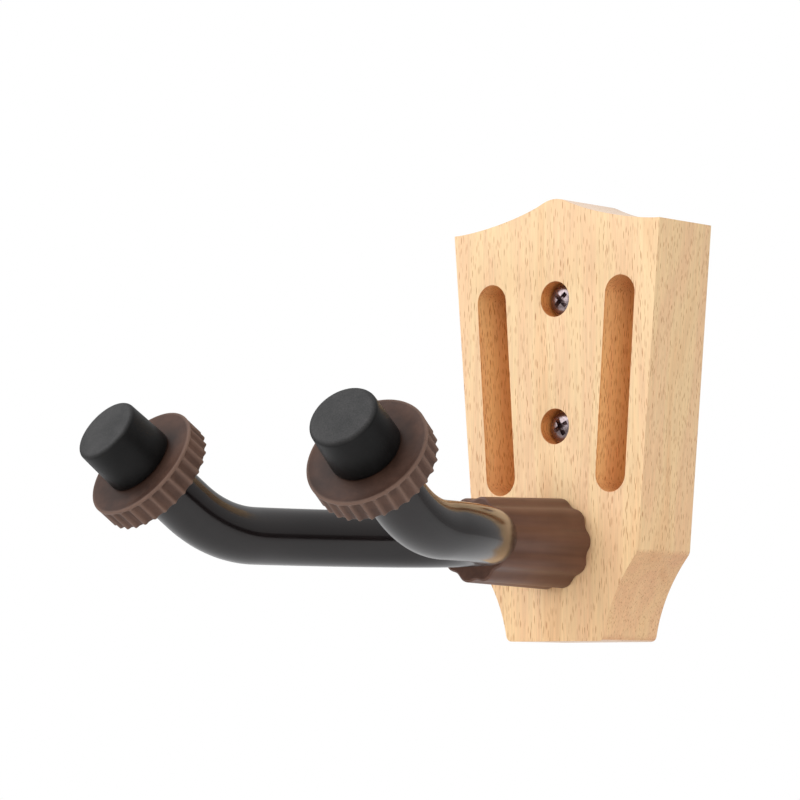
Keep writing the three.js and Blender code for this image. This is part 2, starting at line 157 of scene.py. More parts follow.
def fillet(points, steps=5):
    """A closed outline of (u, v, radius) corners as plain points, each corner rounded by its radius."""
    out = []
    count = len(points)
    for i, (u, v, radius) in enumerate(points):
        here = Vector((u, v))
        before = Vector(points[i - 1][:2]) - here
        after = Vector(points[(i + 1) % count][:2]) - here
        if radius <= 0:
            out.append((u, v))
            continue
        half = before.angle(after) / 2
        back = radius / math.tan(half)
        a, b = before.normalized(), after.normalized()
        centre = here + (a + b).normalized() * (radius / math.sin(half))
        start = here + a * back - centre
        end = here + b * back - centre
        sweep = start.angle_signed(end)
        for k in range(steps + 1):
            turn = -sweep * k / steps
            c, s = math.cos(turn), math.sin(turn)
            p = centre + Vector((c * start.x - s * start.y, s * start.x + c * start.y))
            out.append((p.x, p.y))
    return out


def turned_mesh(profile, segments=96, closed=True, shape=None):
    """Vertices and faces of a profile of (radius, y) points turned about Y.

    shape(radius, y, angle) may change a radius.
    """
    verts, faces, rings = [], [], []
    for radius, y in profile:
        if radius < 1e-6:
            rings.append([len(verts)])
            verts.append((0.0, y, 0.0))
            continue
        ring = []
        for j in range(segments):
            angle = 2 * math.pi * j / segments
            r = shape(radius, y, angle) if shape else radius
            ring.append(len(verts))
            verts.append((r * math.cos(angle), y, r * math.sin(angle)))
        rings.append(ring)
    pairs = list(zip(rings, rings[1:]))
    if closed:
        pairs.append((rings[-1], rings[0]))
    for a, b in pairs:
        if len(a) == 1 and len(b) == 1:
            continue
        for j in range(segments):
            k = (j + 1) % segments
            if len(a) == 1:
                faces.append((a[0], b[k], b[j]))
            elif len(b) == 1:
                faces.append((a[j], a[k], b[0]))
            else:
                faces.append((a[j], a[k], b[k], b[j]))
    return verts, faces


def turned(name, profile, material, segments=96, closed=True, shape=None, place=None, sharp_deg=32.0):
    verts, faces = turned_mesh(profile, segments, closed, shape)
    if place is not None:
        verts = [tuple(place @ Vector(v)) for v in verts]
    return make_object(name, verts, faces, material, sharp_deg)


def arm_point(s):
    """A point on the yoke's centre line, s from the crown: positive on the right arm, else on the left."""
    side = -1.0 if s < 0 else 1.0
    s = abs(s)
    x, y, z = 0.0, CROWN_Y, PIVOT_Z
    arcs = ((CROWN_BEND, math.radians(90)), (BOW, math.radians(90) - CROWN_BEND[1]))
    for (radius, angle), start in arcs:
        turn = min(max(s, 0.0), radius * angle) / radius
        x += radius * (math.cos(start - turn) - math.cos(start))
        y += radius * (math.sin(start - turn) - math.sin(start))
        s -= radius * angle
    radius, angle = LIFT
    climb = min(max(s, 0.0), radius * angle) / radius
    straight = max(0.0, s - radius * angle)
    outward = radius * math.sin(climb) + straight * math.cos(angle)
    x += outward * math.sin(SPLAY)
    y -= outward * math.cos(SPLAY)
    z += radius * (1 - math.cos(climb)) + straight * math.sin(angle)
    return Vector((side * x, y, z))


def yoke_length():
    return CROWN_BEND[0] * CROWN_BEND[1] + BOW[0] * BOW[1] + LIFT[0] * LIFT[1] + TIP_LENGTH


REACH = yoke_length()


def tip_axis(side):
    """The direction an arm's tip points in."""
    flat, climb = math.cos(LIFT[1]), math.sin(LIFT[1])
    return Vector((side * math.sin(SPLAY) * flat, -math.cos(SPLAY) * flat, climb))


def carried_frames(start, end, count):
    """A (normal, tangent) pair at count + 1 places along the yoke, carried along without twisting."""
    nudge = 0.05
    direction = 1.0 if end > start else -1.0
    frames = []
    for i in range(count + 1):
        s = start + (end - start) * i / count
        tangent = (arm_point(s + nudge) - arm_point(s - nudge)).normalized() * direction
        if frames:
            normal = frames[-1][1].rotation_difference(tangent) @ frames[-1][0]
        else:
            normal = Vector((0, 0, 1))
        normal = (normal - tangent * normal.dot(tangent)).normalized()
        frames.append((normal, tangent))
    return frames


def tube_skin(length, outer, inner, steps, lip):
    """The (distance along, radius) stations of a tube: over its lips, and back inside if it is hollow."""
    turns = [math.radians(90 * k / LIP_STEPS) for k in range(LIP_STEPS + 1)]
    lips = [(lip * (1 - math.cos(turn)), outer - lip * (1 - math.sin(turn))) for turn in turns]
    body = [(lip + (length - 2 * lip) * i / steps, outer) for i in range(1, steps)]
    skin = lips + body + [(length - along, radius) for along, radius in reversed(lips)]
    if inner > 0:
        skin += [(length - length * i / steps, inner) for i in range(steps + 1)]
    return skin


def tube(name, start, end, outer, inner, material, steps=220, sides=48, lip=0.6):
    """A tube (or a bar, with inner 0) along the yoke, its ends rounded by lip."""
    length = abs(end - start)
    direction = 1.0 if end > start else -1.0
    frames = carried_frames(start, end, FRAME_STEPS)

    def frame_at(along):
        place = min(max(along / length, 0.0), 1.0) * FRAME_STEPS
        i = min(int(place), FRAME_STEPS - 1)
        share = place - i
        normal = frames[i][0].lerp(frames[i + 1][0], share).normalized()
        tangent = frames[i][1].lerp(frames[i + 1][1], share).normalized()
        normal = (normal - tangent * normal.dot(tangent)).normalized()
        return arm_point(start + direction * along), normal, tangent.cross(normal)

    verts, faces, rings = [], [], []
    for along, radius in tube_skin(length, outer, inner, steps, lip):
        centre, normal, across = frame_at(along)
        rings.append(range(len(verts), len(verts) + sides))
        for j in range(sides):
            turn = 2 * math.pi * j / sides
            offset = normal * (radius * math.cos(turn)) + across * (radius * math.sin(turn))
            verts.append(tuple(centre + offset))
    pairs = list(zip(rings, rings[1:]))
    if inner > 0:
        pairs.append((rings[-1], rings[0]))
    else:
        faces += [tuple(reversed(rings[0])), tuple(rings[-1])]
    for a, b in pairs:
        for j in range(sides):
            k = (j + 1) % sides
            faces.append((a[j], a[k], b[k], b[j]))
    return make_object(name, verts, faces, material, 40.0)


# ---------------------------------------------------------------- materials


class Nodes:
    """Builds one node material."""

    def __init__(self, name):
        self.material = bpy.data.materials.new(name)
        self.material.use_nodes = True
        self.tree = self.material.node_tree
        self.shader = self.tree.nodes["Principled BSDF"]

    def add(self, kind, links=(), **settings):
        node = self.tree.nodes.new(kind)
        for key, value in settings.items():
            if key in node.bl_rna.properties:
                setattr(node, key, value)
            else:
                node.inputs[key].default_value = value
        for socket, source in links:
            self.tree.links.new(source, node.inputs[socket])
        return node

    def link(self, source, socket):
        self.tree.links.new(source, self.shader.inputs[socket])

    def coords(self, scale, turn=(0, 0, 0)):
        where = self.add("ShaderNodeTexCoord")
        mapping = self.add("ShaderNodeMapping", [("Vector", where.outputs["Object"])])
        mapping.inputs["Scale"].default_value = scale
        mapping.inputs["Rotation"].default_value = turn
        return mapping.outputs["Vector"]

    def noise(self, scale, detail=3.0, roughness=0.55, vector=None, distortion=0.0):
        node = self.add("ShaderNodeTexNoise")
        node.inputs["Scale"].default_value = scale
        node.inputs["Detail"].default_value = detail
        node.inputs["Roughness"].default_value = roughness
        node.inputs["Distortion"].default_value = distortion
        if vector is None:
            vector = self.coords((1, 1, 1))
        self.tree.links.new(vector, node.inputs["Vector"])
        return node.outputs["Fac"]

    def ramp(self, source, stops):
        node = self.add("ShaderNodeValToRGB", [("Fac", source)])
        ramp = node.color_ramp
        while len(ramp.elements) < len(stops):
            ramp.elements.new(0.5)
        for element, (position, colour) in zip(ramp.elements, stops):
            element.position = position
            element.color = (*colour, 1.0) if len(colour) == 3 else colour
        return node.outputs["Color"]

    def remap(self, source, low, high, to_low, to_high):
        node = self.add("ShaderNodeMapRange", [("Value", source)])
        for key, value in (("From Min", low), ("From Max", high), ("To Min", to_low), ("To Max", to_high)):
            node.inputs[key].default_value = value
        return node.outputs["Result"]

    def math(self, operation, a, b=None):
        node = self.add("ShaderNodeMath", operation=operation)
        for i, x in enumerate((a, b)):
            if x is None:
                continue
            if isinstance(x, (int, float)):
                node.inputs[i].default_value = x
            else:
                self.tree.links.new(x, node.inputs[i])
        return node.outputs["Value"]

    def blend_of(self, a, weight_a, b, weight_b):
        return self.math("ADD", self.math("MULTIPLY", a, weight_a), self.math("MULTIPLY", b, weight_b))

    def mix(self, factor, a, b, blend="MIX"):
        node = self.add("ShaderNodeMix", data_type="RGBA", blend_type=blend)
        for name, x in (("Factor", factor), ("A", a), ("B", b)):
            kind = "VALUE" if name == "Factor" else "RGBA"
            socket = next(s for s in node.inputs if s.name == name and s.type == kind)
            if isinstance(x, (int, float)):
                socket.default_value = x
            elif isinstance(x, tuple):
                socket.default_value = (*x, 1.0)
            else:
                self.tree.links.new(x, socket)
        return next(s for s in node.outputs if s.type == "RGBA")

    def grey(self, value):
        node = self.add("ShaderNodeCombineColor", [("Red", value), ("Green", value), ("Blue", value)])
        return node.outputs["Color"]

    def bump(self, height, strength, distance):
        node = self.add("ShaderNodeBump", [("Height", height)])
        node.inputs["Strength"].default_value = strength
        node.inputs["Distance"].default_value = distance
        self.tree.links.new(node.outputs["Normal"], self.shader.inputs["Normal"])

    def set(self, **values):
        for key, value in values.items():
            self.shader.inputs[key.replace("_", " ")].default_value = value


def srgb(r, g, b):
    def linear(c):
        c /= 255
        return c / 12.92 if c <= 0.04045 else ((c + 0.055) / 1.055) ** 2.4

    return (linear(r), linear(g), linear(b))


def wood_material():
    """Beech: faint growth bands, fine fibre and short dark flecks along Z, with painted shade in the cuts
    and on the sloping faces and painted light over the crown and under the foot.

    The places are metres in the plate's own frame: Y is 0 at the wall and -0.026 at the front.
    """
    foot_from, foot_to = -0.020, -0.078
    front_skin, rim_depth, floor_above = (-0.02595, -0.0257), (-0.0256, -0.0252), (-0.0086, -0.0082)
    cuts_middle_z, cuts_half_width, cuts_half_height = -0.005, (0.0290, 0.0300), (0.0345, 0.0355)
    counterbore_reach = (0.0054, 0.0058)
    crown_z, foot_z = (0.0395, 0.0400), (-0.0800, -0.0804)
    m = Nodes("beech")
    bands = m.noise(1.0, 3.0, 0.55, m.coords((110, 80, 9)), 0.4)
    base = m.ramp(bands, [
        (0.30, srgb(230, 188, 142)), (0.44, srgb(238, 205, 158)),
        (0.56, srgb(234, 194, 151)), (0.70, srgb(240, 208, 162)),
    ])
    fibre = m.noise(1.0, 4.0, 0.6, m.coords((1700, 1700, 80)))
    toned = m.mix(1.0, base, m.grey(m.remap(fibre, 0.35, 0.68, 0.925, 1.06)), "MULTIPLY")
    place = m.add("ShaderNodeSeparateXYZ", [("Vector", m.coords((1, 1, 1)))])
    foot = m.remap(place.outputs["Z"], foot_from, foot_to, 0.0, 1.0)
    toned = m.mix(foot, toned, m.mix(1.0, toned, (1.03, 0.98, 0.93), "MULTIPLY"))
    # painted shade and end grain: faces that lean up or down are darkened, as painted shade on the
    # downward-facing hip slopes and as end grain taking up more stain
    facing = m.add("ShaderNodeTexCoord").outputs["Normal"]
    lean = m.math("ABSOLUTE", m.add("ShaderNodeSeparateXYZ", [("Vector", facing)]).outputs["Z"])
    across = m.remap(lean, 0.12, 0.60, 0.0, 1.0)
    toned = m.mix(across, toned, m.mix(1.0, toned, (0.83, 0.73, 0.68), "MULTIPLY"))
    # painted shade inside the slots and the screws' counterbores: the bare wood there is made deeper and
    # more orange
    inward = m.remap(place.outputs["Y"], *front_skin, 0.0, 1.0)
    middle = m.remap(m.math("ABSOLUTE", place.outputs["X"]), *cuts_half_width, 1.0, 0.0)
    height = m.math("ABSOLUTE", m.math("ADD", place.outputs["Z"], -cuts_middle_z))
    heart = m.remap(height, *cuts_half_height, 1.0, 0.0)
    shallow = m.remap(place.outputs["Y"], *floor_above, 1.0, 0.0)
    cut_face = m.math("MULTIPLY", m.math("MULTIPLY", inward, middle), m.math("MULTIPLY", heart, shallow))
    toned = m.mix(cut_face, toned, m.mix(1.0, toned, (0.99, 0.86, 0.67), "MULTIPLY"))
    # more painted shade: darker at the rims just inside the cuts and on the counterbores' walls
    rim = m.math("MULTIPLY", cut_face, m.remap(place.outputs["Y"], *rim_depth, 1.0, 0.0))
    centre = m.remap(m.math("ABSOLUTE", place.outputs["X"]), *counterbore_reach, 1.0, 0.0)
    recess_shade = m.math("MAXIMUM", m.math("MULTIPLY", rim, 0.75), m.math("MULTIPLY", centre, cut_face))
    toned = m.mix(recess_shade, toned, m.mix(1.0, toned, (0.90, 0.66, 0.47), "MULTIPLY"))
    # painted light: the top of the crown and the underside of the foot are made pale, as if brightly lit
    # from above and below
    above = m.remap(place.outputs["Z"], *crown_z, 0.0, 1.0)
    below = m.remap(place.outputs["Z"], *foot_z, 0.0, 1.0)
    painted_top_and_underside_light = m.math("MULTIPLY", inward, m.math("MAXIMUM", above, below))
    toned = m.mix(m.math("MULTIPLY", painted_top_and_underside_light, 0.7), toned, srgb(231, 214, 197))
    # the flecks: stretched cells, of which about half are dark, and more in the slots
    cells = m.add("ShaderNodeTexVoronoi", [("Vector", m.coords((3000, 3000, 250), (0.08, 0.1, 0.47)))],
                  feature="F1")
    cells.inputs["Scale"].default_value = 1.0
    cells.inputs["Randomness"].default_value = 1.0
    near = m.remap(cells.outputs["Distance"], 0.22, 0.36, 1.0, 0.0)
    pick = m.add("ShaderNodeSeparateColor", [("Color", cells.outputs["Color"])])
    crowded = m.math("ADD", pick.outputs["Red"], m.math("MULTIPLY", cut_face, 0.2))
    chosen = m.remap(crowded, 0.42, 0.50, 0.0, 1.0)
    weight = m.remap(pick.outputs["Green"], 0.0, 1.0, 0.45, 1.0)
    bold = m.math("ADD", weight, m.math("MULTIPLY", cut_face, 0.5))
    fleck = m.math("MULTIPLY", m.math("MULTIPLY", near, chosen), bold)
    m.link(m.mix(fleck, toned, m.mix(1.0, toned, (0.50, 0.25, 0.13), "MULTIPLY")), "Base Color")
    m.link(m.remap(fibre, 0.3, 0.7, 0.50, 0.62), "Roughness")
    m.bump(m.math("SUBTRACT", m.math("MULTIPLY", fibre, 0.5), m.math("MULTIPLY", fleck, 0.35)), 0.3, 0.0001)
    m.set(IOR=1.45, Coat_Weight=0.08)
    m.shader.inputs["Coat Roughness"].default_value = 0.35
    return m.material


def plastic_material(name, dark, light, roughness, fine=0.0, scale=60.0, specular=0.5):
    m = Nodes(name)
    m.set(Specular_IOR_Level=specular)
    cloud = m.noise(scale, 4.0, 0.6)
    m.link(m.ramp(cloud, [(0.32, dark), (0.68, light)]), "Base Color")
    speck = m.noise(2600, 2.0, 0.5)
    m.link(m.remap(cloud, 0.3, 0.7, roughness - 0.05, roughness + 0.06), "Roughness")
    m.bump(m.blend_of(speck, 0.7, cloud, 0.3), 0.15 + fine, 0.00004)
    return m.material


def collar_material():
    """Moulded brown plastic with faint draw marks along the flutes."""
    m = Nodes("brown_plastic")
    cloud = m.noise(60, 4.0, 0.6)
    drawn = m.noise(1.0, 3.0, 0.55, m.coords((520, 16, 520)))
    both = m.blend_of(cloud, 0.45, drawn, 0.55)
    m.link(m.ramp(both, [(0.36, srgb(84, 54, 41)), (0.64, srgb(108, 73, 56))]), "Base Color")
    m.link(m.remap(drawn, 0.3, 0.7, 0.36, 0.50), "Roughness")
    m.bump(m.math("ADD", drawn, m.math("MULTIPLY", m.noise(2600, 2.0, 0.5), 0.3)), 0.2, 0.00005)
    m.set(Specular_IOR_Level=0.4)
    return m.material


def tip_measures(m):
    """Distance along the arm's tip axis and out from it, in metres, the same for both arms."""
    centre = arm_point(REACH) * MM
    axis = tip_axis(1)
    place = m.add("ShaderNodeSeparateXYZ", [("Vector", m.coords((1, 1, 1)))])
    parts = (m.math("ABSOLUTE", place.outputs["X"]), place.outputs["Y"], place.outputs["Z"])
    off = [m.math("SUBTRACT", part, c) for part, c in zip(parts, centre)]
    along = m.math("ADD", m.blend_of(off[0], axis.x, off[1], axis.y), m.math("MULTIPLY", off[2], axis.z))
    squares = [m.math("MULTIPLY", v, v) for v in off + [along]]
    total = m.math("ADD", m.math("ADD", squares[0], squares[1]), squares[2])
    return along, m.math("SQRT", m.math("MAXIMUM", m.math("SUBTRACT", total, squares[3]), 0.0))


def ring_material():
    """Moulded brown plastic, with painted shade around the cap and a painted highlight on the crests and
    the rim.
    """
    m = Nodes("ring_plastic")
    cloud = m.noise(90, 4.0, 0.6)
    speck = m.noise(2600, 2.0, 0.5)
    base = m.ramp(cloud, [(0.34, srgb(55, 37, 30)), (0.66, srgb(86, 61, 50))])
    out = tip_measures(m)[1]
    # painted shade: darker close to the cap, where the cap shadows the ring's face
    cap_shade = m.remap(out, (CAP_BASE_RADIUS + 0.5) * MM, (RING_RADIUS - 1.65) * MM, 0.62, 1.0)
    base = m.mix(1.0, base, m.grey(cap_shade), "MULTIPLY")
    # painted highlight: paler on the rib crests and the rounded rim
    crest = m.remap(out, 0.0162, (RING_CREST - 0.02) * MM, 0.0, 1.0)
    crest_highlight = m.math("MULTIPLY", crest, m.remap(cloud, 0.3, 0.7, 0.75, 1.0))
    m.link(m.mix(crest_highlight, base, srgb(116, 92, 80)), "Base Color")
    m.link(m.remap(cloud, 0.3, 0.7, 0.46, 0.56), "Roughness")
    m.bump(m.blend_of(speck, 0.7, cloud, 0.3), 0.2, 0.00004)
    m.set(Specular_IOR_Level=0.2)
    return m.material


def rubber_material():
    """Black rubber, smooth and dark on the sides, with a speckled flat end that is painted paler as a
    painted sheen.
    """
    m = Nodes("black_rubber")
    cloud = m.noise(120, 4.0, 0.6)
    speck = m.noise(2600, 2.0, 0.5)
    side = m.ramp(cloud, [(0.34, srgb(9, 9, 9)), (0.66, srgb(19, 19, 19))])
    end = m.ramp(m.blend_of(cloud, 0.6, speck, 0.4), [(0.36, srgb(40, 40, 40)), (0.64, srgb(64, 63, 63))])
    along = tip_measures(m)[0]
    # painted sheen: the flat end gets a paler colour, and a little more roughness, than the sides
    end_sheen_mask = m.remap(along, (CAP_LENGTH - 0.9) * MM, CAP_LENGTH * MM, 0.0, 1.0)
    m.link(m.mix(end_sheen_mask, side, end), "Base Color")
    m.link(m.math("ADD", m.remap(cloud, 0.3, 0.7, 0.38, 0.46), m.math("MULTIPLY", end_sheen_mask, 0.1)), "Roughness")
    m.bump(m.blend_of(speck, 0.7, cloud, 0.3), 0.45, 0.00008)
    m.set(Specular_IOR_Level=0.2)
    return m.material


def gloss_material():
    m = Nodes("black_gloss")
    cloud = m.noise(45, 3.0, 0.5)
    m.link(m.ramp(cloud, [(0.3, srgb(16, 12, 12)), (0.7, srgb(24, 18, 18))]), "Base Color")
    m.link(m.remap(m.noise(160, 3.0, 0.6), 0.3, 0.7, 0.12, 0.18), "Roughness")
    m.bump(m.noise(120, 2.0, 0.5), 0.12, 0.0003)
    m.set(IOR=1.52)
    return m.material


def metal_material(name, dark, light, roughness, stretch=(900, 60, 900)):
    m = Nodes(name)
    brushed = m.noise(1.0, 4.0, 0.6, m.coords(stretch))
    cloud = m.noise(220, 3.0, 0.55)
    both = m.blend_of(brushed, 0.6, cloud, 0.4)
    m.link(m.ramp(both, [(0.35, dark), (0.65, light)]), "Base Color")
    m.link(m.remap(both, 0.3, 0.7, roughness + 0.08, roughness - 0.06), "Roughness")
    m.bump(both, 0.12, 0.00003)
    m.set(Metallic=1.0)
    return m.material


BEECH = wood_material()
BROWN = collar_material()
RING_BROWN = ring_material()
GLOSS = gloss_material()
RUBBER = rubber_material()
BRONZE = metal_material("bronzed_steel", srgb(118, 104, 104), srgb(174, 158, 160), 0.27)
ZINC = metal_material("zinc_steel", srgb(150, 152, 156), srgb(198, 200, 204), 0.3)
NYLON = plastic_material("white_nylon", srgb(214, 211, 202), srgb(232, 230, 222), 0.5)
FIBRE = plastic_material("grey_fibre", srgb(120, 118, 114), srgb(150, 147, 142), 0.75, 0.3, 300)

# ---------------------------------------------------------------- back plate


def bezier(p0, p1, p2, p3, steps):
    points = []
    for i in range(1, steps + 1):
        t = i / steps
        a, b, c, d = (1 - t) ** 3, 3 * t * (1 - t) ** 2, 3 * t * t * (1 - t), t ** 3
        points.append((a * p0[0] + b * p1[0] + c * p2[0] + d * p3[0],
                       a * p0[1] + b * p1[1] + c * p2[1] + d * p3[1]))
    return points


def quadratic(p0, p1, p2, steps):
    c1 = (p0[0] + 2 / 3 * (p1[0] - p0[0]), p0[1] + 2 / 3 * (p1[1] - p0[1]))
    c2 = (p2[0] + 2 / 3 * (p1[0] - p2[0]), p2[1] + 2 / 3 * (p1[1] - p2[1]))
    return bezier(p0, c1, c2, p2, steps)


def half_width(z):
    return PLATE_TOP_HALF_WIDTH - PLATE_SIDE_TAPER * (PLATE_SHOULDER_Z - z)


def plate_outline():
    foot, hip, wide = PLATE_FOOT_Z, PLATE_HIP_Z, half_width(PLATE_HIP_Z)
    edge = [(0.0, foot), (PLATE_FOOT_HALF_WIDTH - PLATE_FOOT_RADIUS, foot)]
    edge += quadratic(edge[-1], (PLATE_FOOT_HALF_WIDTH, foot),
                      (PLATE_FOOT_HALF_WIDTH + 0.3, foot + PLATE_FOOT_RADIUS), 6)
    edge += bezier(edge[-1], (PLATE_FOOT_HALF_WIDTH + 1.7, foot + 9.2),
                   (PLATE_FOOT_HALF_WIDTH + 5.2, foot + 17),
                   (wide - 0.8, hip - 0.92), 24)
    over_hip = hip + PLATE_HIP_RADIUS
    edge += quadratic(edge[-1], (wide, hip), (half_width(over_hip), over_hip), 12)
    edge += [(PLATE_TOP_HALF_WIDTH, PLATE_SHOULDER_Z)]
    edge += bezier(edge[-1], (29, PLATE_SHOULDER_Z + 0.1), (13, PLATE_SHOULDER_Z + 3.2),
                   (4.5, PLATE_CROWN_Z - 1.05), 32)
    edge += quadratic(edge[-1], (2.3, PLATE_CROWN_Z), (0.0, PLATE_CROWN_Z), 8)
    return edge + [(-x, z) for x, z in reversed(edge[1:-1])]


def inset(outline, amount):
    """A counter-clockwise outline moved inwards by amount, its corners mitred."""
    out = []
    for i, (x, z) in enumerate(outline):
        before = Vector((x - outline[i - 1][0], z - outline[i - 1][1])).normalized()
        ahead = outline[(i + 1) % len(outline)]
        after = Vector((ahead[0] - x, ahead[1] - z)).normalized()
        inward = Vector((-before.y - after.y, before.x + after.x)).normalized()
        reach = amount / max(0.3, inward.dot(Vector((-before.y, before.x))))
        out.append((x + inward.x * reach, z + inward.y * reach))
    return out


def prism(name, outline, y_from, y_to, material, back_round=0.0):
    """A solid between two depths. back_round rounds the edge at y_from."""
    rows = [(outline, y_from)]
    if back_round:
        rows = []
        for k in range(6):
            turn = math.radians(90 * k / 5)
            row = inset(outline, back_round * (1 - math.sin(turn)))
            rows.append((row, y_from - back_round * (1 - math.cos(turn))))
    rows.append((outline, y_to))
    count = len(outline)
    verts = [(x, y, z) for row, y in rows for x, z in row]
    faces = [tuple(range(count)), tuple(range(len(verts) - 1, len(verts) - count - 1, -1))]
    for r in range(len(rows) - 1):
        a, b = r * count, (r + 1) * count
        faces += [(a + i, a + (i + 1) % count, b + (i + 1) % count, b + i) for i in range(count)]
    return make_object(name, verts, faces, material)


def slot_outline(side):
    lean = math.atan2(SLOT_TOP[0] - SLOT_FOOT[0], SLOT_TOP[1] - SLOT_FOOT[1])
    radius = SLOT_WIDTH / 2
    points = []
    for (cx, cz), start in ((SLOT_TOP, 0.0), (SLOT_FOOT, math.pi)):
        for k in range(33):
            angle = start + math.pi * k / 32 - lean
            points.append((side * (cx + radius * math.cos(angle)), cz + radius * math.sin(angle)))
    return points


def back_plate():
    plate = prism("plate_wood", plate_outline(), 0.0, -PLATE_THICKNESS, BEECH, BACK_ROUND)
    clear = 3.0  # how far the cutters stand out of both faces
    front, back = -PLATE_THICKNESS - clear, clear
    floor_y = SLOT_DEPTH - PLATE_THICKNESS
    for side in (-1, 1):
        cut(plate, prism("slot_cutter", slot_outline(side), floor_y, front, BEECH))
    seat_y = SCREW_SEAT_DEPTH - PLATE_THICKNESS
    for z in SCREW_HEIGHTS.values():
        profile = [(0, front), (SCREW_SEAT_RADIUS, front), (SCREW_SEAT_RADIUS, seat_y),
                   (SCREW_BORE_RADIUS, seat_y), (SCREW_BORE_RADIUS, back), (0, back)]
        cut(plate, turned("hole_cutter", profile, BEECH, 72, False, place=Matrix.Translation((0, 0, z))))
    profile = [(0, front), (BUSH_HOLE_RADIUS, front), (BUSH_HOLE_RADIUS, -PIVOT_SEAT_DEPTH),
               (PIVOT_SEAT_RADIUS, -PIVOT_SEAT_DEPTH), (PIVOT_SEAT_RADIUS, back), (0, back)]
    cut(plate, turned("pivot_cutter", profile, BEECH, 96, False, place=Matrix.Translation((0, 0, PIVOT_Z))))
    bevel(plate, EDGE_BEVEL, 3)
    finish_mesh(plate, BEECH, 28)
    add_piece(plate, "wall_plate", "back_plate")


back_plate()

# ---------------------------------------------------------------- wall screws


HEAD_RADIUS, HEAD_RIM, HEAD_DOME = 4.3, 1.7, 1.2
HEAD_TOP = -HEAD_RIM - HEAD_DOME
SCREW_ROOT, SCREW_CREST, SCREW_PITCH = 1.55, 2.2, 2.0
SCREW_LENGTH, SCREW_POINT, SCREW_PLAIN = 50.0, 7.0, 6.0
SCREW_NECK_RADIUS = 2.0
RECESS_TOP, RECESS_FLOOR = (1.5, 3.9, 0.95), (1.9, 1.3, 0.45)
RECESS_TURN = {"upper": math.radians(45), "lower": math.radians(28)}


def thread_radius(root, crest, pitch, y, angle):
    """The radius over a single-start thread, a sharp crest on a flat root."""
    phase = (y / pitch - angle / (2 * math.pi)) % 1.0
    rise = max(0.0, 1.0 - abs(phase - 0.5) / 0.28)
    return root + (crest - root) * rise


def screw_profile():
    """A low domed head on the plane y = 0, a plain neck, then close steps for the thread."""
    profile = [(0.0, HEAD_TOP)]
    for k in range(1, 15):
        turn = math.radians(90 * k / 14)
        dome = HEAD_DOME * max(0.0, math.cos(turn)) ** 1.1
        profile.append((HEAD_RADIUS * math.sin(turn) ** 0.82, -HEAD_RIM - dome))
    profile += [(HEAD_RADIUS, -0.25), (HEAD_RADIUS - 0.25, 0.0), (2.2, 0.0), (2.1, 0.2)]
    profile += [(SCREW_NECK_RADIUS, 0.8 * k) for k in range(1, 8)]
    steps = round((SCREW_LENGTH - SCREW_PLAIN) / 0.1)
    profile += [(1.0, SCREW_PLAIN + 0.1 * k) for k in range(4, steps)]
    profile.append((0.0, SCREW_LENGTH))
    return profile


def screw_shape(radius, y, angle):
    if y < SCREW_PLAIN:
        return radius
    fade = min(1.0, (y - SCREW_PLAIN) / 2.0)
    left = SCREW_LENGTH - y
    taper = 1.0 if left > SCREW_POINT else max(0.03, (left / SCREW_POINT) ** 0.8)
    crest = SCREW_ROOT + (SCREW_CREST - SCREW_ROOT) * fade
    threaded = thread_radius(SCREW_ROOT, crest, SCREW_PITCH, y, angle)
    return (SCREW_NECK_RADIUS * (1 - fade) + threaded * fade) * taper


def recess_cutter(centre, turn):
    """One arm of the cross, wide at the head's face and narrow at its floor."""
    across = Vector((math.cos(turn), 0, math.sin(turn)))
    along = Vector((-math.sin(turn), 0, math.cos(turn)))
    verts = []
    for (depth, span, width), way in ((RECESS_TOP, -1), (RECESS_FLOOR, 1)):
        level = centre + Vector((0, HEAD_TOP + way * depth, 0))
        for a, b in ((-1, -1), (1, -1), (1, 1), (-1, 1)):
            verts.append(tuple(level + across * (a * span) + along * (b * width)))
    faces = [(0, 1, 2, 3), (7, 6, 5, 4)]
    faces += [(i, (i + 1) % 4, 4 + (i + 1) % 4, 4 + i) for i in range(4)]
    return make_object("recess_cutter", verts, faces, BRONZE)


def wall_screw(which, z):
    centre = Vector((0, SCREW_SEAT_DEPTH - PLATE_THICKNESS, z))
    place = Matrix.Translation(centre)
    screw = turned(f"wall_screw_detail_{which}", screw_profile(), BRONZE, 48, False, screw_shape, place, 50)
    for k in range(2):
        cut(screw, recess_cutter(centre, RECESS_TURN[which] + k * math.pi / 2))
    finish_mesh(screw, BRONZE, 40)
    add_piece(screw, "wall_plate", f"wall_screw_{which}")


for which, height in SCREW_HEIGHTS.items():
    wall_screw(which, height)

# ---------------------------------------------------------------- swivel hardware

PIVOT_PLACE = Matrix.Translation((0, 0, PIVOT_Z))


def washer(name, inner, outer, y_from, y_to, material, ease=0.15, place=PIVOT_PLACE):
    corners = ((inner, y_from), (outer, y_from), (outer, y_to), (inner, y_to))
    profile = fillet([(radius, y, ease) for radius, y in corners], 3)
    return turned(name, profile, material, 96, True, None, place)


SEAT_Y = -PIVOT_SEAT_DEPTH
NUT_HEIGHT = 8.0
bush_profile = fillet([
    (4.25, -26.0, 0.2), (6.0, -26.0, 0.3), (6.0, SEAT_Y, 0), (8.5, SEAT_Y, 0.2),
    (8.5, SEAT_Y + 1.2, 0.3), (4.25, SEAT_Y + 1.2, 0.3),
], 3)
add_piece(turned("pivot_bush_detail", bush_profile, NYLON, 96, True, None, PIVOT_PLACE),
          "wall_plate", "pivot_bush")
add_piece(washer("slip_washer_detail", 6.2, 10.0, -26.9, -26.0, FIBRE, 0.12),
          "wall_plate", "slip_washer")

